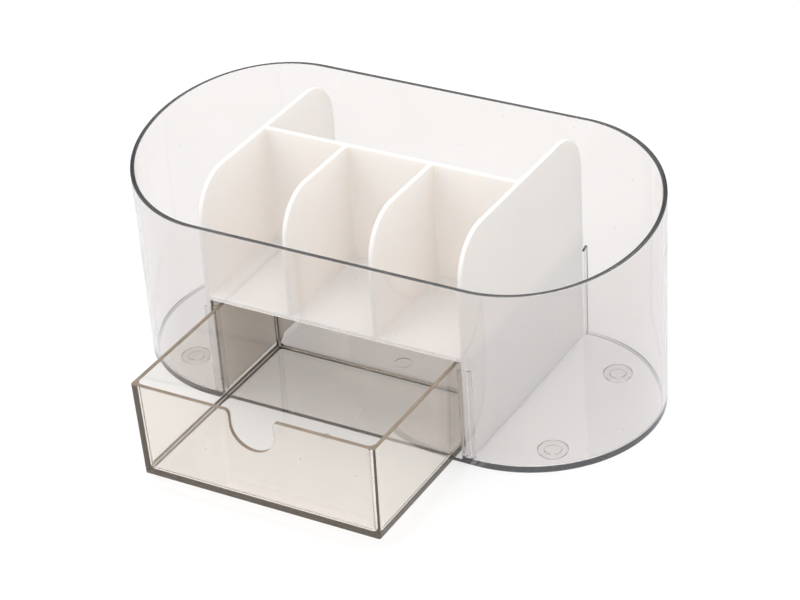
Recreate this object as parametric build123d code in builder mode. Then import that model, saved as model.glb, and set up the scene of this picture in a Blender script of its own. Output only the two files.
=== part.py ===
from build123d import *
from math import radians, tan
import os

os.makedirs("parts", exist_ok=True)

# A vanity organiser: a clear round-ended tub holds a white divided insert, which stands
# on the tub's floor like a small table. A tinted drawer runs under it and comes out
# through an opening in the tub's front wall.
#
# Millimetres and degrees. X runs along the tub, the drawer opens towards -Y, +Z is up.
# The origin is the middle of the footprint, on the surface the feet stand on, with the
# drawer pulled out as it is at rest. Sizes called heights are measured upwards from the
# surface that the piece itself stands on.

# Clear tub
tub_length = 250.0          # over the rim, halfway between its low front and high back
tub_depth = 117.0           # front to back, at the same height
tub_height = 98.6           # underside to rim, at the same place
tub_draft = 0.58            # every wall leans out, so that the moulding comes off its core
tub_wall = 2.0
tub_floor = 2.2
rim_slope = 11.3            # the rim falls towards the front
rim_radius = 0.6
floor_fillet = 1.5          # inside, where the walls meet the floor
heel_radius = 0.8           # outside, round the underside

# Locating ribs: pairs on the front and back walls that hold the insert's side panels
rib_width = 1.1
rib_reach = 2.8             # how far a rib stands off the wall
rib_height = 45.2           # above the floor, at the wall
rib_fall = 1.6              # its top falls this much to its free edge
rib_gap = 0.2               # between a rib and the panel it holds

# Gate marks: the shallow round recesses under the floors, where the moulds were filled
gate_diameter = 8.0
gate_depth = 0.4
drawer_gate = 3.0

# White insert
insert_height = 106.2       # tub floor to its level top
panel_inset = 2.5           # from a panel's outer face to where the tub's wall curves away
panel_thickness = 2.0
divider_thickness = 2.0
shelf_thickness = 2.0
shelf_height = 50.6         # tub floor to the shelf's upper face
cross_wall_face = 1.6       # its front face lies this far in front of the tub's middle
shoulder_radius = 20.0      # the round at the top corners of panels and dividers
panel_chamfer = 2.4         # clears the fillet round the tub's floor
insert_front_gap = 0.4      # between the panels' front edges and the tub's wall
insert_back_gap = 1.2       # the same at the back, where the ribs still hold the panels
pocket_radius = 1.0         # in the inner corners of the compartments
edge_radius = 0.5           # along the insert's free edges
bay_count = 3

# Tinted drawer
drawer_draft = 1.5
drawer_side_gap = 1.8       # from its top edge to the side of the opening
drawer_back_gap = 2.2       # from its top edge to the tub's back wall, pushed in
drawer_head_gap = 2.6       # from its top edge to the shelf
drawer_wall = 1.8
drawer_floor = 1.9
drawer_corner = 1.0         # outside, up the vertical corners
drawer_inner_corner = 3.0   # inside, up the vertical corners
drawer_inner_fillet = 2.5   # inside, round the floor
drawer_lip_radius = 0.4     # along the top edge
drawer_heel_radius = 0.35   # outside, round the underside
running_gap = 0.3           # under the drawer
drawer_out = 66.0           # how far out it is at rest
finger_width = 21.4
finger_depth = 18.0
finger_shoulder = 2.6       # where the notch turns into the top edge

# Opening in the tub's front wall
opening_margin = 0.9        # from the shelf's underside up to the opening's top edge

# Feet: clear pads stuck under the tub
foot_height = 1.6
foot_diameter = 13.4
foot_face = 9.3             # the flat that touches the table
foot_edge = 0.5             # the pad's straight edge, under the tub
foot_round = 1.8            # from that edge down to the flat
foot_end_inset = 33.0       # from the underside's end to the pad's middle
foot_side_inset = 25.0      # from the underside's front or back to the pad's middle

# Worked out from the sizes above
lean = tan(radians(tub_draft))
rise = tan(radians(rim_slope))
drawer_lean = tan(radians(drawer_draft))
base_length = tub_length - 2 * tub_height * lean
base_depth = tub_depth - 2 * tub_height * lean
rim_back = (tub_height + rise * base_depth / 2) / (1 - rise * lean)

inner_half = base_depth / 2 - tub_wall + tub_floor * lean

insert_width = base_length - base_depth - 2 * panel_inset
panel_inner = insert_width / 2 - panel_thickness
opening_half = panel_inner - rib_gap - rib_width
shelf_underside = shelf_height - shelf_thickness
opening_height = shelf_underside + opening_margin

# The drawer's front face, pushed in, is flush with the tub's wall at its top edge.
drawer_bottom = tub_floor + running_gap
drawer_height = shelf_underside - running_gap - drawer_head_gap
drawer_width = 2 * (opening_half - drawer_side_gap)
closed_face = base_depth / 2 + (drawer_bottom + drawer_height) * lean
closed_back = inner_half + (running_gap + drawer_height) * lean - drawer_back_gap
drawer_length = closed_face + closed_back
reach_back = base_depth / 2 + rim_back * lean
reach_front = closed_face + drawer_out
tub_y = (reach_front - reach_back) / 2

foot_x = base_length / 2 - foot_end_inset
foot_y = base_depth / 2 - foot_side_inset

tub_base = Plane((0, tub_y, foot_height))
floor_plane = tub_base.offset(tub_floor)
# Side views look along X: local x runs to the back and local y upwards.
side_view = Plane((0, tub_y, foot_height + tub_floor), x_dir=(0, 1, 0), z_dir=(1, 0, 0))


# Tub: a drafted shell cut off by the sloping rim
rim_plane = Plane((0, tub_y, foot_height + tub_height), x_dir=(1, 0, 0),
                  z_dir=(0, -rise, 1))
blank_height = rim_back + tub_wall
with BuildPart() as tub:
    with BuildSketch(tub_base):
        SlotOverall(base_length, base_depth)
    extrude(amount=blank_height, taper=-tub_draft)
    fillet(tub.edges().group_by(Axis.Z)[0], heel_radius)
    with BuildSketch(floor_plane):
        inset = 2 * (tub_wall - tub_floor * lean)
        SlotOverall(base_length - inset, base_depth - inset)
    extrude(amount=blank_height, taper=-tub_draft, mode=Mode.SUBTRACT)
    floor_z = foot_height + tub_floor
    floor_rim = tub.edges().filter_by_position(Axis.Z, floor_z - 0.01, floor_z + 0.01)
    fillet(floor_rim, floor_fillet)
    split(bisect_by=rim_plane, keep=Keep.BOTTOM)
    fillet(tub.faces().filter_by(rim_plane).edges(), rim_radius)

    # Ribs, one on each side of each panel, at the front and at the back
    rib_middle = panel_thickness / 2 + rib_gap + rib_width / 2
    panel_middle = insert_width / 2 - panel_thickness / 2
    rib_places = [(side * panel_middle + turn * rib_middle)
                  for side in (-1, 1) for turn in (-1, 1)]
    for rib_x in rib_places:
        for facing in (-1, 1):
            root = facing * (inner_half + tub_wall / 2)
            tip = facing * (inner_half - rib_reach)
            rib_view = side_view.offset(rib_x)
            with BuildSketch(rib_view):
                with BuildLine():
                    Polyline((root, -tub_floor / 2), (tip, -tub_floor / 2),
                             (tip, rib_height - rib_fall), (root, rib_height), close=True)
                make_face()
            extrude(amount=rib_width / 2, both=True)

    # Opening for the drawer, down to the floor
    front_view = Plane((0, tub_y - inner_half, floor_z), x_dir=(1, 0, 0), z_dir=(0, -1, 0))
    with BuildSketch(front_view.offset(-floor_fillet)):
        Rectangle(2 * opening_half, opening_height, align=(Align.CENTER, Align.MIN))
    extrude(amount=floor_fillet + 2 * tub_wall, mode=Mode.SUBTRACT)

    with BuildSketch(tub_base):
        Circle(gate_diameter / 2)
    extrude(amount=gate_depth, mode=Mode.SUBTRACT)
tub.part.label = "tub"
export_step(tub.part, "parts/tub.step")


# Insert: one moulding, its side view pulled across the full width and then hollowed
front_low = -inner_half + insert_front_gap
front_high = front_low - insert_height * lean
back_low = inner_half - insert_back_gap
back_high = back_low + insert_height * lean
cross_front = -cross_wall_face
cross_back = cross_front + divider_thickness
clear_span = insert_width - 2 * panel_thickness
bay_width = (clear_span - (bay_count - 1) * divider_thickness) / bay_count
bay_pitch = bay_width + divider_thickness
shelf_plane = floor_plane.offset(shelf_height)
under_view = Plane((0, tub_y, foot_height + tub_floor), x_dir=(1, 0, 0), z_dir=(0, -1, 0))


def near(value, places):
    """True where a coordinate falls on one of the given places."""
    return any(abs(value - place) < 0.01 for place in places)


def on_shoulder(edge):
    """True for the top face's edges along X where the shoulder rounds begin."""
    middle = edge.center()
    starts = (tub_y + front_high + shoulder_radius, tub_y + back_high - shoulder_radius)
    return any(abs(middle.Y - start) < shoulder_radius / 4 for start in starts) and (
        abs(edge.tangent_at(0.5).X) > 0.99)


with BuildPart() as insert:
    with BuildSketch(side_view):
        with BuildLine():
            Polyline((front_low, 0), (front_high, insert_height),
                     (back_high, insert_height), (back_low, 0), close=True)
        make_face()
        fillet(vertices().group_by(Axis.Y)[-1], shoulder_radius)
        chamfer(vertices().group_by(Axis.Y)[0], panel_chamfer)
    extrude(amount=insert_width / 2, both=True)

    # Compartments: three in front, closed by the tub's wall, and a long one behind
    with BuildSketch(shelf_plane):
        with Locations((0, cross_front)):
            with GridLocations(bay_pitch, 0, bay_count, 1):
                Rectangle(bay_width, tub_depth, align=(Align.CENTER, Align.MAX))
        with Locations((0, cross_back)):
            Rectangle(clear_span, tub_depth, align=(Align.CENTER, Align.MIN))
    extrude(amount=insert_height, mode=Mode.SUBTRACT)

    # Under the shelf, the drawer's space between the side panels
    with BuildSketch(under_view):
        Rectangle(clear_span, shelf_underside, align=(Align.CENTER, Align.MIN))
    extrude(amount=tub_depth, both=True, mode=Mode.SUBTRACT)

    # Rounds in the inner corners: up the cross wall, then round each compartment's floor
    cross_faces = (tub_y + cross_front, tub_y + cross_back)
    upright = insert.edges().filter_by(Axis.Z)
    fillet([e for e in upright if near(e.center().Y, cross_faces)], pocket_radius)
    shelf_z = foot_height + tub_floor + shelf_height
    on_shelf = insert.edges().filter_by_position(Axis.Z, shelf_z - 0.01, shelf_z + 0.01)
    along = on_shelf.filter_by(Axis.Y)
    fillet(along, pocket_radius)

    # Softened free edges; the round runs on from the top down the front and back edges
    top_face = insert.faces().sort_by(Axis.Z)[-1]
    fillet([e for e in top_face.edges() if not on_shoulder(e)], edge_radius)
insert.part.label = "insert"
export_step(insert.part, "parts/insert.step")


# Drawer: a drafted tray with a finger notch in its front
slack = drawer_height * drawer_lean
thin = 2 * (drawer_wall - drawer_floor * drawer_lean)
drawer_y = tub_y - closed_face - drawer_out
tray_width = drawer_width - 2 * slack
tray_length = drawer_length - 2 * slack
tray_plane = Plane((0, drawer_y + drawer_length / 2, foot_height + drawer_bottom))
drawer_top = foot_height + drawer_bottom + drawer_height
with BuildPart() as drawer:
    with BuildSketch(tray_plane):
        RectangleRounded(tray_width, tray_length, drawer_corner)
    extrude(amount=drawer_height, taper=-drawer_draft)
    fillet(drawer.edges().group_by(Axis.Z)[0], drawer_heel_radius)
    with BuildSketch(tray_plane.offset(drawer_floor)):
        RectangleRounded(tray_width - thin, tray_length - thin, drawer_inner_corner)
    extrude(amount=drawer_height, taper=-drawer_draft, mode=Mode.SUBTRACT)
    tray_z = foot_height + drawer_bottom + drawer_floor
    tray_rim = drawer.edges().filter_by_position(Axis.Z, tray_z - 0.01, tray_z + 0.01)
    fillet(tray_rim, drawer_inner_fillet)

    notch_view = Plane((0, drawer_y, drawer_top), x_dir=(1, 0, 0), z_dir=(0, -1, 0))
    notch_reach = drawer_wall + drawer_inner_corner
    with BuildSketch(notch_view.offset(-notch_reach)):
        with Locations((0, finger_width / 2 - finger_depth)):
            Circle(finger_width / 2)
            Rectangle(finger_width, finger_depth, align=(Align.CENTER, Align.MIN))
    extrude(amount=2 * notch_reach, mode=Mode.SUBTRACT)
    across = drawer.edges().filter_by(Axis.Y)
    shoulders = [e for e in across if near(abs(e.center().X), (finger_width / 2,))
                 and near(e.center().Z, (drawer_top,))]
    fillet(shoulders, finger_shoulder)
    fillet(drawer.faces().sort_by(Axis.Z)[-1].edges(), drawer_lip_radius)

    with BuildSketch(tray_plane):
        Circle(drawer_gate / 2)
    extrude(amount=gate_depth, mode=Mode.SUBTRACT)
drawer.part.label = "drawer"
export_step(drawer.part, "parts/drawer.step")


# Feet: a turned pad at each corner of the tub's underside
foot_places = {"foot_front_left": (-foot_x, -foot_y), "foot_front_right": (foot_x, -foot_y),
               "foot_back_left": (-foot_x, foot_y), "foot_back_right": (foot_x, foot_y)}
for foot_name, (across_x, along_y) in foot_places.items():
    centre = (across_x, tub_y + along_y, 0)
    with BuildPart() as foot:
        with BuildSketch(Plane(centre, x_dir=(1, 0, 0), z_dir=(0, -1, 0))):
            with BuildLine():
                Line((0, 0), (foot_face / 2, 0))
                RadiusArc((foot_face / 2, 0), (foot_diameter / 2, foot_height - foot_edge),
                          foot_round)
                Polyline((foot_diameter / 2, foot_height - foot_edge),
                         (foot_diameter / 2, foot_height), (0, foot_height), (0, 0))
            make_face()
        revolve(axis=Axis(centre, (0, 0, 1)))
    foot.part.label = foot_name
    export_step(foot.part, f"parts/{foot_name}.step")
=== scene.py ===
# %% [markdown]
# # A clear vanity organiser with a tea-tinted drawer
#
# The real object is three injection mouldings and four stick-on pads. A clear tub with
# rounded ends has a rim that slopes down to the front. A white insert stands in it like a
# small table with pockets on top, and a tinted drawer slides out under that table.
#
# The look comes from two things: how clear plastic bends and swallows light along its
# edges, and how softly a pale moulding is shaded. So the clear pieces are built as closed
# walls of real thickness, and the light is a plain white studio.

# %% Load the fixed frame
import bmesh
import bpy
import numpy as np
from math import cos, pi, radians, sin, tan
from mathutils import Matrix, Vector


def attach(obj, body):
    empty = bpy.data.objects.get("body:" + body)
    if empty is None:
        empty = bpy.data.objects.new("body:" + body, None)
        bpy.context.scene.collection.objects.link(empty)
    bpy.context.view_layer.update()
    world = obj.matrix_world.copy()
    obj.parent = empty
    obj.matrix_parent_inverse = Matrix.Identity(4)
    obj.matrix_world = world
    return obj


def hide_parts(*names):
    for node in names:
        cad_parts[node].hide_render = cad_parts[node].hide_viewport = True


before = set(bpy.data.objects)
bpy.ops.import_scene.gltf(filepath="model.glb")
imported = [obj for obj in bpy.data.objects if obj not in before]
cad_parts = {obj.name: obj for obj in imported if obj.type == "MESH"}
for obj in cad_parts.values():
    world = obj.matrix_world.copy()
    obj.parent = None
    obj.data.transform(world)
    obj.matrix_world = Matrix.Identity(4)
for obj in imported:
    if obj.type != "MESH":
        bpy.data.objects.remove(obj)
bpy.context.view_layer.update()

# %% [markdown]
# ## The sizes
#
# Every surface below is worked out from the sizes that the moulds would have. They are in
# metres here, and the ones that depend on others are worked out from them, so a wall and
# what stands against it can't drift apart.

# %% Sizes in metres
mm = 0.001
tub_length, tub_depth, tub_height = 250 * mm, 117 * mm, 98.6 * mm
tub_wall, tub_floor = 2.0 * mm, 2.2 * mm
tub_draft, rim_slope, drawer_draft = 0.58, 11.3, 1.5            # in degrees
lean, rise = tan(radians(tub_draft)), tan(radians(rim_slope))
rim_round, floor_fillet, heel_round = 0.6 * mm, 1.5 * mm, 0.8 * mm
foot_height = 1.6 * mm
gate_depth = 0.4 * mm

base_length = tub_length - 2 * tub_height * lean
base_depth = tub_depth - 2 * tub_height * lean
straight = (base_length - base_depth) / 2        # half of the straight part
base_radius = base_depth / 2
inner_radius = base_radius - tub_wall + tub_floor * lean
rim_back = (tub_height + rise * base_radius) / (1 - rise * lean)

panel_inset = 2.5 * mm                           # from where the tub's wall curves away
insert_half = straight - panel_inset
panel, shelf_under = 2.0 * mm, 48.6 * mm
rib_width, rib_gap = 1.1 * mm, 0.2 * mm
opening_half = insert_half - panel - rib_gap - rib_width
opening_margin = 0.9 * mm
opening_top = shelf_under + opening_margin

running_gap, head_gap = 0.3 * mm, 2.6 * mm       # under the drawer and over it
side_gap, back_gap = 1.8 * mm, 2.2 * mm          # from its top edge, pushed in
drawer_height = shelf_under - running_gap - head_gap
drawer_lean = tan(radians(drawer_draft))
drawer_half_width = opening_half - side_gap
closed_face = base_radius + (tub_floor + running_gap + drawer_height) * lean
closed_back = inner_radius + (running_gap + drawer_height) * lean - back_gap
drawer_length = closed_face + closed_back
drawer_out = 66.0 * mm
tub_y = (closed_face + drawer_out - base_radius - rim_back * lean) / 2
drawer_y = tub_y - closed_face - drawer_out      # the drawer's front top edge
print("tub middle at y =", round(tub_y, 5), " drawer length", round(drawer_length, 5))

# %% [markdown]
# ## Surfaces from numbers
#
# A moulding's wall is a profile, its section, carried round a plan outline. Both are
# arrays: one axis of the grid runs along the section and the other round the plan. Numpy
# works out every point at once, and the grid's neighbours become the faces.

# %% Helper: a closed grid of points becomes a mesh
def shell_from_rings(name, rings):
    """rings[i, j] is point j of ring i. Neighbouring rings are joined by four-sided faces,
    each ring is closed on itself, and the first and last rings are capped flat."""
    n_rings, n_round = rings.shape[:2]
    i, j = np.meshgrid(np.arange(n_rings - 1), np.arange(n_round), indexing="ij")
    nxt = (j + 1) % n_round
    quads = np.stack([i * n_round + j, i * n_round + nxt,
                      (i + 1) * n_round + nxt, (i + 1) * n_round + j], axis=-1)
    faces = quads.reshape(-1, 4).tolist()
    faces.append(list(range(n_round))[::-1])
    faces.append(list(range((n_rings - 1) * n_round, n_rings * n_round)))
    mesh = bpy.data.meshes.new(name)
    mesh.from_pydata(rings.reshape(-1, 3).tolist(), [], faces)
    mesh.update()
    obj = bpy.data.objects.new(name, mesh)
    bpy.context.scene.collection.objects.link(obj)
    return obj


def arc(centre_r, centre_z, radius, start, stop, steps):
    """Points (r, z) on a circle about the centre, from angle start to stop in degrees."""
    angle = np.radians(np.linspace(start, stop, steps + 1))
    return np.stack([centre_r + radius * np.cos(angle), centre_z + radius * np.sin(angle)], -1)


def bake_modifiers(obj):
    """Replaces the object's mesh by what its modifiers make of it."""
    bpy.context.view_layer.update()
    ready = obj.evaluated_get(bpy.context.evaluated_depsgraph_get())
    mesh = bpy.data.meshes.new_from_object(ready)
    obj.modifiers.clear()
    old, obj.data = obj.data, mesh
    bpy.data.meshes.remove(old)
    mesh.name = obj.name


def cut_or_join(obj, tool, operation):
    """Carves the tool out of the object, or welds it on, and removes the tool."""
    step = obj.modifiers.new(operation.lower(), "BOOLEAN")
    step.object, step.operation, step.solver = tool, operation, "EXACT"
    bake_modifiers(obj)
    bpy.data.objects.remove(tool)


def soften(obj, width, limit=50, segments=2):
    """Rounds the edges sharper than the limit and shades the rest smooth."""
    edge = obj.modifiers.new("softened edges", "BEVEL")
    edge.width, edge.segments, edge.limit_method = width, segments, "ANGLE"
    edge.angle_limit = radians(limit)
    bake_modifiers(obj)
    smooth(obj)
    even = obj.modifiers.new("flat faces stay flat", "WEIGHTED_NORMAL")
    even.mode, even.weight, even.keep_sharp = "FACE_AREA", 100, True
    bake_modifiers(obj)


def smooth(obj, limit=32):
    """Shades smooth, with edges over the limit kept sharp."""
    obj.data.shade_smooth()
    obj.data.set_sharp_from_angle(angle=radians(limit))


# %% [markdown]
# ## The tub
#
# In plan the tub is a round-ended slot. Any outline at distance r from its core line is
# "a point of the core plus r times the outward direction", so the same directions serve
# the outside wall, the inside wall and the fillets. The section goes up the outside, over
# the rim and down the inside. Only the rim's height changes round the plan, because the
# rim is a plane that falls towards the front.

# %% The tub's plan: core points and outward directions
end_steps, side_steps = 56, 10
turn = np.linspace(-pi / 2, pi / 2, end_steps + 1)
run = np.linspace(1, -1, side_steps + 1)[1:-1]
zeros, ones = np.zeros_like(run), np.ones_like(run)
core_x = np.concatenate([np.full_like(turn, straight), straight * run,
                         np.full_like(turn, -straight), -straight * run])
out_x = np.concatenate([np.cos(turn), zeros, -np.cos(turn), zeros])
out_y = np.concatenate([np.sin(turn), ones, -np.sin(turn), -ones])


def rim_height(r):
    """Height of the sloping rim plane over the point at distance r from the core."""
    return tub_height + rise * r * out_y


# %% The tub's section, carried round the plan
def tub_rings():
    """Each ring is (r, z) round the plan: heel arc, outer wall, rim with two rounded
    corners, inner wall, floor fillet. Outer r grows by lean times z, inner r likewise."""
    zero = np.zeros_like(out_x)
    rings = [(zero + r, zero + z) for r, z in
             arc(base_radius - heel_round, heel_round, heel_round, -90, 0, 5)]
    outer_top = (tub_height + rise * base_radius * out_y) / (1 - rise * lean * out_y)
    outer_r = base_radius + lean * outer_top
    inner_r = outer_r - tub_wall
    for angle in np.radians(np.linspace(0, 90, 6)):
        r = outer_r - rim_round * (1 - np.cos(angle))
        rings.append((r, rim_height(r) - rim_round * (1 - np.sin(angle))))
    for angle in np.radians(np.linspace(90, 180, 6)):
        r = inner_r + rim_round * (1 + np.cos(angle))
        rings.append((r, rim_height(r) - rim_round * (1 - np.sin(angle))))
    for r, z in arc(inner_radius - floor_fillet, tub_floor + floor_fillet, floor_fillet,
                    0, -90, 6):
        rings.append((zero + r, zero + z))
    points = [np.stack([core_x + r * out_x, tub_y + r * out_y, foot_height + z], -1)
              for r, z in rings]
    return np.stack(points)


tub = shell_from_rings("clear_tub", tub_rings())
print("tub shell:", len(tub.data.vertices), "points")

# %% [markdown]
# The opening for the drawer is cut through the front wall down to the floor. Beside it,
# and opposite on the back wall, pairs of thin ribs grip the edges of the white panels.
# They are moulded with the tub, so they are welded into the same closed wall: two clear
# solids that merely overlap would show false surfaces inside the plastic.

# %% Helper: a flat outline pulled along one axis
def prism(name, outline, axis, start, stop):
    """The outline's points (p, q) are repeated at the two ends of a straight pull along
    the axis: x pulls a (y, z) outline, y an (x, z) one and z an (x, y) one."""
    p, q = np.array(outline).T
    rings = []
    for place in (start, stop):
        at = np.full_like(p, place)
        order = {"x": (at, p, q), "y": (p, at, q), "z": (p, q, at)}[axis]
        rings.append(np.stack(order, -1))
    obj = shell_from_rings(name, np.stack(rings))
    recalculate(obj)
    return obj


def recalculate(obj):
    """Turns every face outwards."""
    work = bmesh.new()
    work.from_mesh(obj.data)
    bmesh.ops.recalc_face_normals(work, faces=work.faces)
    work.to_mesh(obj.data)
    work.free()


# %% Ribs, opening and gate mark
recalculate(tub)
floor_z = foot_height + tub_floor
rib_reach, rib_height, rib_fall = 2.8 * mm, 45.2 * mm, 1.6 * mm
for side_of_tub in (-1, 1):
    for place in (-1, 1):
        middle = side_of_tub * (insert_half - panel / 2)
        middle += place * (panel / 2 + rib_gap + rib_width / 2)
        for wall in (-1, 1):
            root = tub_y + wall * (inner_radius + tub_wall / 2)
            tip = tub_y + wall * (inner_radius - rib_reach)
            outline = [(root, floor_z - tub_floor / 2), (tip, floor_z - tub_floor / 2),
                       (tip, floor_z + rib_height - rib_fall), (root, floor_z + rib_height)]
            rib = prism("rib", outline, "x", middle - rib_width / 2, middle + rib_width / 2)
            cut_or_join(tub, rib, "UNION")

front = tub_y - base_radius
hole = prism("hole", [(-opening_half, floor_z), (opening_half, floor_z),
                      (opening_half, floor_z + opening_top),
                      (-opening_half, floor_z + opening_top)],
             "y", front - 3 * tub_wall, front + tub_wall + floor_fillet)
cut_or_join(tub, hole, "DIFFERENCE")

spin = np.linspace(0, 2 * pi, 48, endpoint=False)


def gate_mark(obj, y, radius, underside):
    """Cuts the round dimple left where the plastic entered the mould, in the underside."""
    outline = np.stack([radius * np.cos(spin), y + radius * np.sin(spin)], -1)
    tool = prism("gate", outline, "z", underside - 1 * mm, underside + gate_depth)
    cut_or_join(obj, tool, "DIFFERENCE")


gate_mark(tub, tub_y, 4 * mm, foot_height)
soften(tub, 0.22 * mm)
print("tub with ribs and opening:", len(tub.data.polygons), "faces")

# %% [markdown]
# ## The drawer
#
# The drawer's plan is a rectangle with rounded corners. A ring of it is set by two half
# sizes, a corner radius and a height, so the section is a list of such rings: up the
# leaning outside, over the lip, down the inside, round the soft fillet and onto the floor.
# The inner corners are rounder than the outer ones, as a mould core's are.

# %% The drawer's rings
corner_steps = 8
quarter = np.linspace(0, pi / 2, corner_steps + 1)
angles = np.concatenate([quarter, quarter + pi / 2, quarter + pi, quarter + 1.5 * pi])
sign_x = np.repeat([1, -1, -1, 1], corner_steps + 1)
sign_y = np.repeat([1, 1, -1, -1], corner_steps + 1)


def rounded_ring(half_x, half_y, corner, z):
    """A corner centre plus the corner radius times the outward direction."""
    x = sign_x * (half_x - corner) + corner * np.cos(angles)
    y = sign_y * (half_y - corner) + corner * np.sin(angles)
    return np.stack([x, drawer_y + drawer_length / 2 + y, np.full_like(x, z)], -1)


drawer_base = floor_z + running_gap
drawer_wall, drawer_floor = 1.8 * mm, 1.9 * mm
drawer_heel, drawer_lip, drawer_fillet = 0.35 * mm, 0.4 * mm, 2.5 * mm
outer_corner, inner_corner, least_corner = 1.0 * mm, 3.0 * mm, 0.4 * mm
slack = drawer_height * drawer_lean
low_x, low_y = drawer_half_width - slack, drawer_length / 2 - slack


def drawer_rings():
    """Offsets inwards from the leaning outer face, with the height they are at."""
    rings = []

    def add(inset, height, corner):
        spread = height * drawer_lean - inset
        rings.append(rounded_ring(low_x + spread, low_y + spread, corner,
                                  drawer_base + height))

    heel, lip, soft = drawer_heel, drawer_lip, drawer_fillet
    for inset, height in arc(heel, heel, heel, -90, -180, 3):
        add(inset, height, outer_corner - inset)
    add(0.0, drawer_floor, outer_corner)
    for inset, height in arc(lip, drawer_height - lip, lip, 180, 90, 4):
        add(inset, height, outer_corner)
    for inset, height in arc(drawer_wall - lip, drawer_height - lip, lip, 90, 0, 4):
        add(inset, height, inner_corner)
    for inset, height in arc(drawer_wall + soft, drawer_floor + soft, soft, 180, 270, 6):
        add(inset, height, max(inner_corner - (inset - drawer_wall), least_corner))
    return np.stack(rings)


drawer = shell_from_rings("tinted_drawer", drawer_rings())
recalculate(drawer)
print("drawer shell:", len(drawer.data.vertices), "points")

# %% [markdown]
# The finger notch is a straight-sided U whose upper corners flare into the lip. It is cut
# from the front wall with a prism of that outline.

# %% The finger notch
notch_half, notch_depth, notch_flare = 10.7 * mm, 18.0 * mm, 2.6 * mm


def notch_outline():
    """A half circle at the bottom, straight sides, and an outward quarter round where each
    side meets the lip. Listed as x to the right and z upwards."""
    half, depth, flare = notch_half, notch_depth, notch_flare
    top = drawer_base + drawer_height
    low = top - depth + half
    bottom = np.radians(np.linspace(180, 360, 33))
    bowl = np.stack([half * np.cos(bottom), low + half * np.sin(bottom)], -1)
    bend = np.radians(np.linspace(180, 90, 8))
    right = np.stack([half + flare + flare * np.cos(bend),
                      top - flare + flare * np.sin(bend)], -1)
    above = np.array([[half + flare, top + 2 * mm], [-half - flare, top + 2 * mm]])
    left = right[::-1] * [-1, 1]
    return np.concatenate([bowl, right, above, left])


notch = prism("notch", notch_outline(), "y", drawer_y - 3 * mm, drawer_y + 4.5 * mm)
cut_or_join(drawer, notch, "DIFFERENCE")
gate_mark(drawer, drawer_y + drawer_length / 2, 1.5 * mm, drawer_base)
soften(drawer, 0.25 * mm)
print("drawer with its notch:", len(drawer.data.polygons), "faces")

# %% [markdown]
# ## The feet
#
# Each pad is a turned shape: a shallow cup in the middle, a flat ring that touches the
# table, a bulging side, and a short straight edge against the tub. A profile turned about
# an upright axis gives it, and through the tub's floor its steps show as rings.

# %% Turned pads
pad_radius = 6.7 * mm
pad_end_inset, pad_side_inset = 33 * mm, 25 * mm        # from the tub's underside edges


def pad(name, x, y):
    """The profile's radius times cosine and sine of the turn, at the profile's height."""
    bulge = arc(4.90 * mm, 1.12 * mm, 1.80 * mm, -38, 0, 8)
    cup = np.array([[3.60, 1.1], [4.00, 0.0], [4.65, 0.0]]) * mm
    hair = 0.02 * mm                    # keeps the pad's top off the tub's underside
    profile = np.concatenate([cup, bulge, [[pad_radius, foot_height - hair]]])
    radius, height = profile[:, :1], profile[:, 1:]
    rings = np.stack([x + radius * np.cos(spin), y + radius * np.sin(spin),
                      height + 0 * spin], -1)
    obj = shell_from_rings(name, rings)
    recalculate(obj)
    smooth(obj, 40)
    return obj


foot_x, foot_y = base_length / 2 - pad_end_inset, base_radius - pad_side_inset
pads = {}
for node, (x, y) in {"foot_front_left": (-foot_x, -foot_y),
                     "foot_front_right": (foot_x, -foot_y),
                     "foot_back_left": (-foot_x, foot_y),
                     "foot_back_right": (foot_x, foot_y)}.items():
    pads[node] = pad(node.replace("foot", "pad"), x, tub_y + y)
print("pads:", sorted(pads))

# %% [markdown]
# ## The white insert
#
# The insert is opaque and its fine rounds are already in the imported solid, so a copy of
# that solid is used. Its loose triangles are merged first, and then it is shaded smooth
# with its real edges kept, so the shoulder rounds read as curves.

# %% A smooth copy of the insert
def smooth_copy(node, name):
    """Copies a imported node's mesh, merges its doubled points and shades it smooth."""
    obj = bpy.data.objects.new(name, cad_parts[node].data.copy())
    bpy.context.scene.collection.objects.link(obj)
    work = bmesh.new()
    work.from_mesh(obj.data)
    bmesh.ops.remove_doubles(work, verts=work.verts, dist=1e-6)
    bmesh.ops.dissolve_limit(work, angle_limit=radians(0.5), verts=work.verts,
                             edges=work.edges)
    work.to_mesh(obj.data)
    work.free()
    obj.data.materials.clear()
    smooth(obj, 30)
    return obj


insert = smooth_copy("insert", "white_insert")
print("insert:", len(insert.data.polygons), "faces")

# %% [markdown]
# ## Finishes
#
# Polished moulded plastic is never optically flat. It carries a faint long wave from the
# way it flowed and shrank, a fine haze of handling, and a few specks. That effect is a
# node group that every finish shares, each with its own strengths. The group gives out
# masks and a bump height only.

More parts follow.
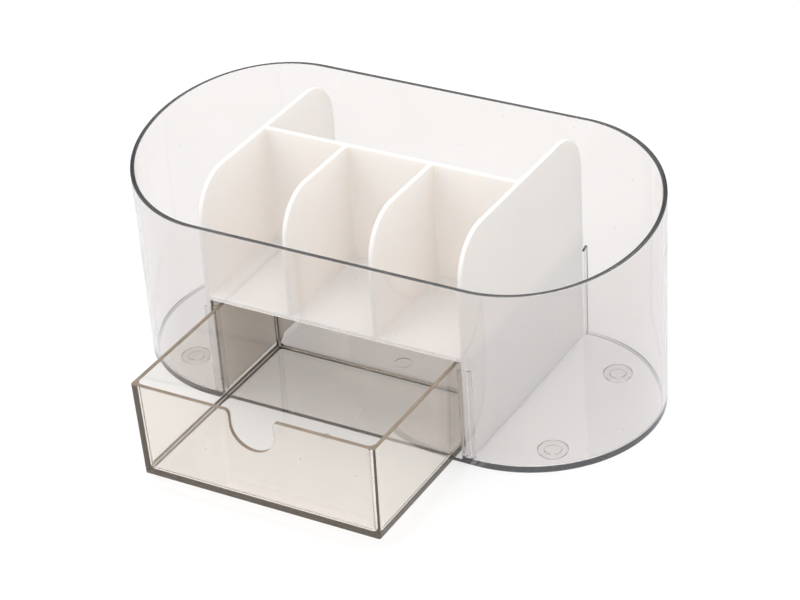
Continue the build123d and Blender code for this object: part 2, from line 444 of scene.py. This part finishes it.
# %% Shared group: moulding marks
def marks_group():
    """Long waves, fine haze and sparse specks, all read from the object's own place."""
    group = bpy.data.node_groups.new("moulding_marks", "ShaderNodeTree")
    face = group.interface
    for label, value in (("Wave Size", 40.0), ("Haze Size", 220.0), ("Speck Size", 90.0)):
        made = face.new_socket(label, in_out="INPUT", socket_type="NodeSocketFloat")
        made.default_value = value
    for label in ("Wave", "Haze", "Specks"):
        face.new_socket(label, in_out="OUTPUT", socket_type="NodeSocketFloat")
    nodes, links = group.nodes, group.links
    start, end = nodes.new("NodeGroupInput"), nodes.new("NodeGroupOutput")
    place = nodes.new("ShaderNodeTexCoord")
    wave = nodes.new("ShaderNodeTexNoise")
    wave.inputs["Detail"].default_value = 1.0
    haze = nodes.new("ShaderNodeTexNoise")
    haze.inputs["Detail"].default_value = 4.0
    dots = nodes.new("ShaderNodeTexVoronoi")
    rare = nodes.new("ShaderNodeMapRange")
    rare.inputs["From Min"].default_value = 0.06
    rare.inputs["From Max"].default_value = 0.03
    for texture, size in ((wave, "Wave Size"), (haze, "Haze Size"), (dots, "Speck Size")):
        links.new(place.outputs["Object"], texture.inputs["Vector"])
        links.new(start.outputs[size], texture.inputs["Scale"])
    links.new(dots.outputs["Distance"], rare.inputs["Value"])
    links.new(wave.outputs["Fac"], end.inputs["Wave"])
    links.new(haze.outputs["Fac"], end.inputs["Haze"])
    links.new(rare.outputs["Result"], end.inputs["Specks"])
    return group


marks = marks_group()


# %% Helpers that the finishes share
def new_finish(name):
    """A named material, with its nodes and links ready to be filled."""
    mat = bpy.data.materials.new(name)
    mat.use_nodes = True
    return mat, mat.node_tree.nodes, mat.node_tree.links


def add_marks(nodes, sizes):
    """Places the shared group, with the texture sizes that differ from its own."""
    mark = nodes.new("ShaderNodeGroup")
    mark.node_tree = marks
    for label, value in sizes.items():
        mark.inputs[label].default_value = value
    return mark


def wander(nodes, links, mark, shader, first, second):
    """The shader's colour wanders between the two along the long wave."""
    colour = nodes.new("ShaderNodeMix")
    colour.data_type = "RGBA"
    colour.inputs["A"].default_value = (*first, 1)
    colour.inputs["B"].default_value = (*second, 1)
    links.new(mark.outputs["Wave"], colour.inputs["Factor"])
    links.new(colour.outputs["Result"], shader.inputs["Base Color"])


def gloss(nodes, links, mark, lowest, highest):
    """A roughness that goes from lowest to highest with the haze."""
    rough = nodes.new("ShaderNodeMapRange")
    rough.inputs["To Min"].default_value = lowest
    rough.inputs["To Max"].default_value = highest
    links.new(mark.outputs["Haze"], rough.inputs["Value"])
    return rough


def relief(nodes, links, mask, shader, strength, distance):
    """A bump from one of the masks, at most the distance high, in metres."""
    bump = nodes.new("ShaderNodeBump")
    bump.inputs["Strength"].default_value = strength
    bump.inputs["Distance"].default_value = distance
    links.new(mask, bump.inputs["Height"])
    links.new(bump.outputs["Normal"], shader.inputs["Normal"])


# %% [markdown]
# The clear and tinted mouldings are the same material in two colours. Light that crosses a
# wall meets about two millimetres of plastic and barely changes. Light that is caught
# inside a wall and comes out at its edge has gone much further, so the edge is dark, and
# absorption inside the solid gives both. A small share of each surface is opaque, a faint
# veil that keeps the light caught in a wall for good from ending black. Light from the
# lamps, and light that a dull surface has scattered, passes straight through the walls by
# way of a transparent shader.

# %% Finish: clear plastic
plastic_ior = 1.56
see_through = 0.965                     # the rest is the faint veil
speck_roughness = 0.35                  # what a speck adds to the surface's roughness
tone_drop = 0.97                        # how much darker the wave makes the tint


def clear_plastic(name, tint, swallow, density, haze, wave, mirror):
    """tint is the surface's colour, swallow the colour that the inside lets through and
    density how strongly it absorbs, haze the roughness between its clearest and haziest
    places, wave the bump's strength, and mirror the colour of its reflections."""
    mat, nodes, links = new_finish(name)
    shader, out = nodes["Principled BSDF"], nodes["Material Output"]
    shader.inputs["Transmission Weight"].default_value = see_through
    shader.inputs["Metallic"].default_value = 0.0
    shader.inputs["IOR"].default_value = plastic_ior
    shader.inputs["Specular Tint"].default_value = (*mirror, 1)
    mark = add_marks(nodes, {})
    rough = gloss(nodes, links, mark, *haze)
    rough.inputs["From Min"].default_value, rough.inputs["From Max"].default_value = 0.35, 0.75
    dusty = nodes.new("ShaderNodeMath")
    dusty.operation = "MULTIPLY_ADD"
    dusty.inputs[1].default_value = speck_roughness
    links.new(mark.outputs["Specks"], dusty.inputs[0])
    links.new(rough.outputs["Result"], dusty.inputs[2])
    links.new(dusty.outputs["Value"], shader.inputs["Roughness"])
    wander(nodes, links, mark, shader, tint, [c * tone_drop for c in tint])
    relief(nodes, links, mark.outputs["Wave"], shader, wave, 0.0004)
    path = nodes.new("ShaderNodeLightPath")
    through = nodes.new("ShaderNodeBsdfTransparent")
    through.inputs["Color"].default_value = (1, 1, 1, 1)
    last = shader.outputs["BSDF"]
    for kind in ("Is Diffuse Ray", "Is Shadow Ray"):
        choice = nodes.new("ShaderNodeMixShader")
        links.new(path.outputs[kind], choice.inputs["Fac"])
        links.new(last, choice.inputs[1])
        links.new(through.outputs["BSDF"], choice.inputs[2])
        last = choice.outputs["Shader"]
    links.new(last, out.inputs["Surface"])
    inside = nodes.new("ShaderNodeVolumeAbsorption")
    inside.inputs["Color"].default_value = (*swallow, 1)
    inside.inputs["Density"].default_value = density
    links.new(inside.outputs["Volume"], out.inputs["Volume"])
    return mat


clear = clear_plastic("clear_styrene", (0.935, 0.905, 0.89), (0.35, 0.42, 0.5), 30.0,
                      (0.0, 0.03), 0.10, (0.86, 0.9, 1.0))
tea = clear_plastic("tea_styrene", (0.985, 0.965, 0.945), (0.45, 0.3, 0.12), 40.0,
                    (0.0, 0.04), 0.12, (0.9, 0.7, 0.5))
soft_clear = clear_plastic("clear_pad", (0.99, 0.985, 0.98), (0.5, 0.5, 0.5), 2.0,
                           (0.0, 0.05), 0.1, (1.0, 1.0, 1.0))

# %% [markdown]
# The white moulding is a pale, very slightly warm plastic with a satin skin. The haze
# varies its gloss, the long wave varies its tone by a hair, and a fine bump breaks the
# highlights up.

# %% Finish: white satin plastic
def white_plastic(name):
    """A pale base that lets a little light in, with gloss and bump from the shared marks."""
    mat, nodes, links = new_finish(name)
    shader = nodes["Principled BSDF"]
    shader.inputs["IOR"].default_value = 1.5
    shader.inputs["Subsurface Weight"].default_value = 0.7
    shader.inputs["Subsurface Radius"].default_value = (1.0, 0.85, 0.7)
    shader.inputs["Subsurface Scale"].default_value = 0.004
    mark = add_marks(nodes, {"Wave Size": 18.0, "Haze Size": 900.0})
    wander(nodes, links, mark, shader, (0.90, 0.86, 0.83), (0.88, 0.84, 0.81))
    rough = gloss(nodes, links, mark, 0.32, 0.5)
    links.new(rough.outputs["Result"], shader.inputs["Roughness"])
    relief(nodes, links, mark.outputs["Haze"], shader, 0.08, 0.0002)
    return mat


white = white_plastic("white_satin")

# %% [markdown]
# Tea-tinted plastic looks strongest where the light has travelled along a wall, at the cut
# edges. The drawer's lip shows tan, and its heel and upright corners dark brown. Those
# narrow faces get that light and shade painted on as an opaque glossy colour, streaked by
# the long wave: a painted tan light on the lip and a painted dark brown shade on the heel
# and corners. It shows from outside only: light that is already in the wall meets plain
# clear plastic there.

# %% Finish: painted light and shade for the edges of the tinted plastic
def painted_edge_plastic(name, body, pale, deep):
    """A copy of the body's plastic whose outside is a glossy colour between pale and deep,
    painted edge light and shade.
    """
    mat = body.copy()
    mat.name = name
    nodes, links = mat.node_tree.nodes, mat.node_tree.links
    out = nodes["Material Output"]
    shader = nodes.new("ShaderNodeBsdfPrincipled")
    shader.inputs["IOR"].default_value = plastic_ior
    inner = out.inputs["Surface"].links[0].from_socket
    which, skin = nodes.new("ShaderNodeNewGeometry"), nodes.new("ShaderNodeMixShader")
    links.new(which.outputs["Backfacing"], skin.inputs["Fac"])
    links.new(shader.outputs["BSDF"], skin.inputs[1])
    links.new(inner, skin.inputs[2])
    links.new(skin.outputs["Shader"], out.inputs["Surface"])
    mark = add_marks(nodes, {"Wave Size": 120.0})
    wander(nodes, links, mark, shader, pale, deep)
    rough = gloss(nodes, links, mark, 0.08, 0.3)
    links.new(rough.outputs["Result"], shader.inputs["Roughness"])
    return mat


# Painted edge light, tan, for the lip and notch, and painted edge shade, dark brown, for the
# heel and corners.
tea_lip_painted_light = painted_edge_plastic("tea_lip_painted_light", tea, (0.36, 0.29, 0.225), (0.20, 0.155, 0.115))
tea_edge_painted_shade = painted_edge_plastic("tea_edge_painted_shade", tea, (0.15, 0.115, 0.085), (0.065, 0.048, 0.035))

# %% Dress the pieces and let them ride
for obj, node, body, mat, slot_name in (
        (tub, "tub", "holder", clear, "clear_plastic"),
        (insert, "insert", "holder", white, "white_plastic"),
        (drawer, "drawer", "tray", tea, "tinted_plastic"),
        *((pads[n], n, "holder", soft_clear, "foot_pad") for n in pads)):
    obj.data.materials.clear()
    obj.data.materials.append(mat)
    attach(obj, body)
    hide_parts(node)
    print(obj.name, "rides on", body, "with", mat.name)


# %% The drawer's edge faces take the painted edge light and shade
def face_table(obj):
    """Middle and outward direction of every face, as two arrays."""
    count = len(obj.data.polygons)
    middle, out = np.empty(count * 3), np.empty(count * 3)
    obj.data.polygons.foreach_get("center", middle)
    obj.data.polygons.foreach_get("normal", out)
    return middle.reshape(-1, 3), out.reshape(-1, 3)


middle, out = face_table(drawer)
level, top = middle[:, 2] - drawer_base, drawer_height
lip_reach = drawer_lip + 0.02 * mm
notch_reach = notch_half + notch_flare + 0.1 * mm
notch_low = notch_depth + 0.2 * mm
front_reach = 3 * mm                    # takes in the front wall only
lip = level > top - lip_reach
in_notch = ((np.abs(middle[:, 0]) < notch_reach) & (middle[:, 1] < drawer_y + front_reach)
            & (np.abs(out[:, 1]) < 0.5) & (level > top - notch_low))
outwards = (middle - [0, drawer_y + drawer_length / 2, 0])[:, :2] * out[:, :2]
heel = (level < drawer_floor) & (np.abs(out[:, 2]) < 0.9) & (outwards.sum(axis=1) > 0)
corner = (np.abs(out[:, 0]) > 0.15) & (np.abs(out[:, 1]) > 0.15) & (
    (np.abs(outwards) > 0).all(axis=1)) & (outwards.sum(axis=1) > 0) & (level < top)
# Lip and notch faces take the painted tan edge light, heel and corner faces the painted dark
# brown edge shade.
painted_edge_index = np.where(lip | in_notch, 1, np.where(heel | corner, 2, 0)).astype(np.int32)
drawer.data.materials.append(tea_lip_painted_light)
drawer.data.materials.append(tea_edge_painted_shade)
drawer.data.polygons.foreach_set("material_index", painted_edge_index)
print("drawer faces: lip", int((painted_edge_index == 1).sum()), " heel and corners",
      int((painted_edge_index == 2).sum()))

# %% [markdown]
# ## Studio
#
# A white table and a white room. The table is a mid grey that takes the object's shadow.
# To the camera, directly, mirrored or through plastic, it adds light of its own, at half
# of full white, so that it ends as the paper white of a product shot. What the plastic
# mirrors or bends is a room with a darker band under a bright ceiling, which draws its
# edges. A large soft lamp hangs overhead, and a smaller one stands at the front left.

# %% Table
table = bpy.data.meshes.new("table_top")
low = -0.05 * mm                        # a hair below the pads, so the two never coincide
table.from_pydata([(-3, -3, low), (3, -3, low), (3, 3, low), (-3, 3, low)], [], [(0, 1, 2, 3)])
table_top = bpy.data.objects.new("table_top", table)
bpy.context.scene.collection.objects.link(table_top)
paper = bpy.data.materials.new("paper_white")
paper.use_nodes = True
nodes, links = paper.node_tree.nodes, paper.node_tree.links
skin = nodes["Principled BSDF"]
skin.inputs["Base Color"].default_value = (0.46, 0.46, 0.46, 1)
skin.inputs["Roughness"].default_value = 0.9
skin.inputs["Emission Color"].default_value = (1, 1, 1, 1)
path = nodes.new("ShaderNodeLightPath")
seen = path.outputs["Is Camera Ray"]
for kind in ("Is Glossy Ray", "Is Transmission Ray"):
    larger = nodes.new("ShaderNodeMath")
    larger.operation = "MAXIMUM"
    links.new(seen, larger.inputs[0])
    links.new(path.outputs[kind], larger.inputs[1])
    seen = larger.outputs["Value"]
glow = nodes.new("ShaderNodeMath")
glow.operation = "MULTIPLY"
glow.inputs[1].default_value = 0.50     # half of full white
links.new(seen, glow.inputs[0])
links.new(glow.outputs["Value"], skin.inputs["Emission Strength"])
table.materials.append(paper)

# %% Room light
world = bpy.data.worlds.new("white_room")
bpy.context.scene.world = world
world.use_nodes = True
nodes, links = world.node_tree.nodes, world.node_tree.links
sky = nodes["Background"]
sky.inputs["Color"].default_value = (1, 1, 1, 1)


def ramp(source, low, high, at_low, at_high):
    """A value that goes from at_low to at_high as the source goes from low to high."""
    node = nodes.new("ShaderNodeMapRange")
    for label, value in (("From Min", low), ("From Max", high),
                         ("To Min", at_low), ("To Max", at_high)):
        node.inputs[label].default_value = value
    links.new(source, node.inputs["Value"])
    return node.outputs["Result"]


def blend(factor, first, second):
    """First where the factor is 0, second where it is 1. Each is a number or a socket."""
    node = nodes.new("ShaderNodeMix")
    links.new(factor, node.inputs["Factor"])
    for label, value in (("A", first), ("B", second)):
        if isinstance(value, float):
            node.inputs[label].default_value = value
        else:
            links.new(value, node.inputs[label])
    return node.outputs["Result"]


def either(first, second):
    """The larger of two sockets."""
    node = nodes.new("ShaderNodeMath")
    node.operation = "MAXIMUM"
    links.new(first, node.inputs[0])
    links.new(second, node.inputs[1])
    return node.outputs["Value"]


direction = nodes.new("ShaderNodeTexCoord")
parts = nodes.new("ShaderNodeSeparateXYZ")
links.new(direction.outputs["Generated"], parts.inputs["Vector"])
height = parts.outputs["Z"]
wall = ramp(height, 0.12, 0.32, 1.0, 0.30)
ceiling = ramp(height, 0.72, 0.9, 0.0, 1.0)
dome = blend(ceiling, wall, 1.1)
look = nodes.new("ShaderNodeLightPath")
mirrored = either(look.outputs["Is Glossy Ray"], look.outputs["Is Transmission Ray"])
lit = blend(mirrored, ramp(height, 0.0, 0.6, 1.25, 0.95), dome)
links.new(blend(look.outputs["Is Camera Ray"], lit, 1.0), sky.inputs["Strength"])
bpy.context.scene.view_settings.view_transform = "Standard"


def lamp(name, place, aim, size, power):
    """A square soft lamp that faces the aim point."""
    data = bpy.data.lights.new(name, "AREA")
    data.size, data.energy = size, power
    obj = bpy.data.objects.new(name, data)
    bpy.context.scene.collection.objects.link(obj)
    way = Vector(aim) - Vector(place)
    obj.matrix_world = (Matrix.Translation(place)
                        @ way.to_track_quat("-Z", "Y").to_matrix().to_4x4())
    return obj


lamp("overhead", (0, 0.1, 1.5), (0, 0.03, 0.05), 1.3, 6.0)
lamp("key", (-0.9, -0.9, 1.2), (0, 0, 0.05), 0.9, 4.0)

# %% [markdown]
# ## Camera
#
# The camera stands to the right of the front, a little over thirty degrees up, with a long
# lens and a slight roll. Its numbers come from lining up the rims, the base and the
# drawer's edges. The position is the target plus the distance along the backward
# direction, with a small step to the right and down.

# %% The camera
az, el, roll = radians(31.376), radians(31.410), radians(-3.955)
target_height, distance = 0.0360, 1.2472        # metres, the first above the tub's underside
step_right, step_down = 0.000237, 0.001680
focal_pixels, picture_width, sensor = 2815.95, 800, 36
back = Vector((sin(az) * cos(el), -cos(az) * cos(el), sin(el)))
right = Vector((cos(az), sin(az), 0))
up = back.cross(right)
rolled_right = cos(roll) * right + sin(roll) * up
rolled_up = -sin(roll) * right + cos(roll) * up
target = Vector((0, tub_y, target_height + foot_height))
spot = target + distance * back + step_right * rolled_right - step_down * rolled_up
view = bpy.data.cameras.new("studio_camera")
view.lens = focal_pixels * sensor / picture_width
view.sensor_width = sensor
camera = bpy.data.objects.new("studio_camera", view)
bpy.context.scene.collection.objects.link(camera)
turned = Matrix((rolled_right, rolled_up, back)).transposed().to_4x4()
camera.matrix_world = Matrix.Translation(spot) @ turned
bpy.context.scene.camera = camera
